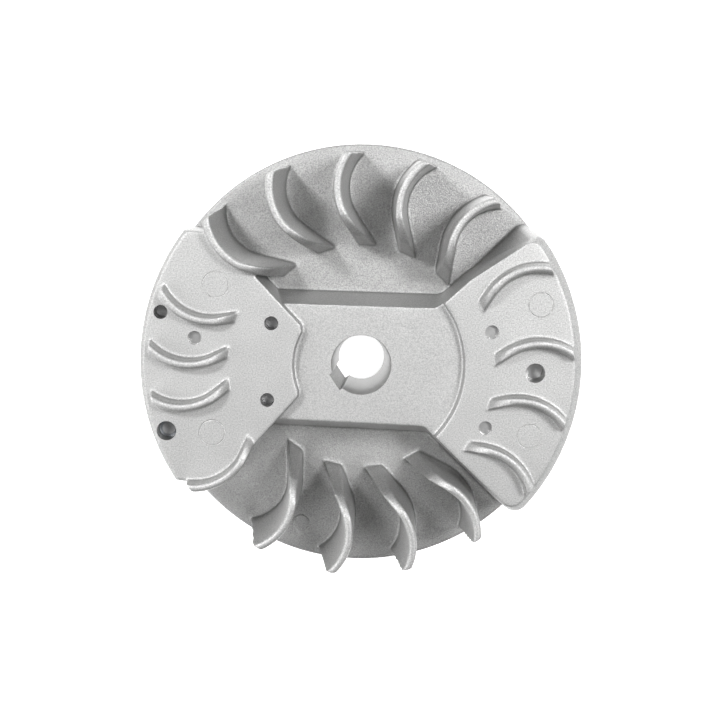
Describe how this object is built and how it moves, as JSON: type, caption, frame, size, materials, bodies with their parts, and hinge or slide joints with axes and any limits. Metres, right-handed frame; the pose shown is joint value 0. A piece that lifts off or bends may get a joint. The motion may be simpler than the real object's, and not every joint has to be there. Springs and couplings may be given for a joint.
{
  "type": "flywheel",
  "caption": "Cast aluminium flywheel for a small two-stroke engine, with curved fan blades, a tapered and keyed crank bore, and a magnet with laminated pole shoes in its rim.",
  "frame": {"origin": "on the bore axis, in the plane of the back face", "axes": "+Z along the bore axis towards the fan side, -X through the magnet pad, +Y towards the fan recess with five tall blades"},
  "size_m": [0.1, 0.1, 0.0245],
  "materials": {
    "cast_aluminium": "die-cast and shot-blasted, matt with a fine sparkle",
    "lamination_steel": "stamped electrical steel, ground flush with the rim",
    "magnet_block": "sintered magnet, dark grey",
    "rivet_steel": "steel, dull"
  },
  "bodies": {
    "root": {"flywheel_casting": "cast_aluminium", "magnet": "magnet_block", "pole_rivets": "rivet_steel", "upper_lamination_1": "lamination_steel", "upper_lamination_2": "lamination_steel", "upper_lamination_3": "lamination_steel", "upper_lamination_4": "lamination_steel", "upper_lamination_5": "lamination_steel", "upper_lamination_6": "lamination_steel", "upper_lamination_7": "lamination_steel", "upper_lamination_8": "lamination_steel", "upper_lamination_9": "lamination_steel", "upper_lamination_10": "lamination_steel", "upper_lamination_11": "lamination_steel", "upper_lamination_12": "lamination_steel", "lower_lamination_1": "lamination_steel", "lower_lamination_2": "lamination_steel", "lower_lamination_3": "lamination_steel", "lower_lamination_4": "lamination_steel", "lower_lamination_5": "lamination_steel", "lower_lamination_6": "lamination_steel", "lower_lamination_7": "lamination_steel", "lower_lamination_8": "lamination_steel", "lower_lamination_9": "lamination_steel", "lower_lamination_10": "lamination_steel", "lower_lamination_11": "lamination_steel", "lower_lamination_12": "lamination_steel"}
  },
  "joints": []
}
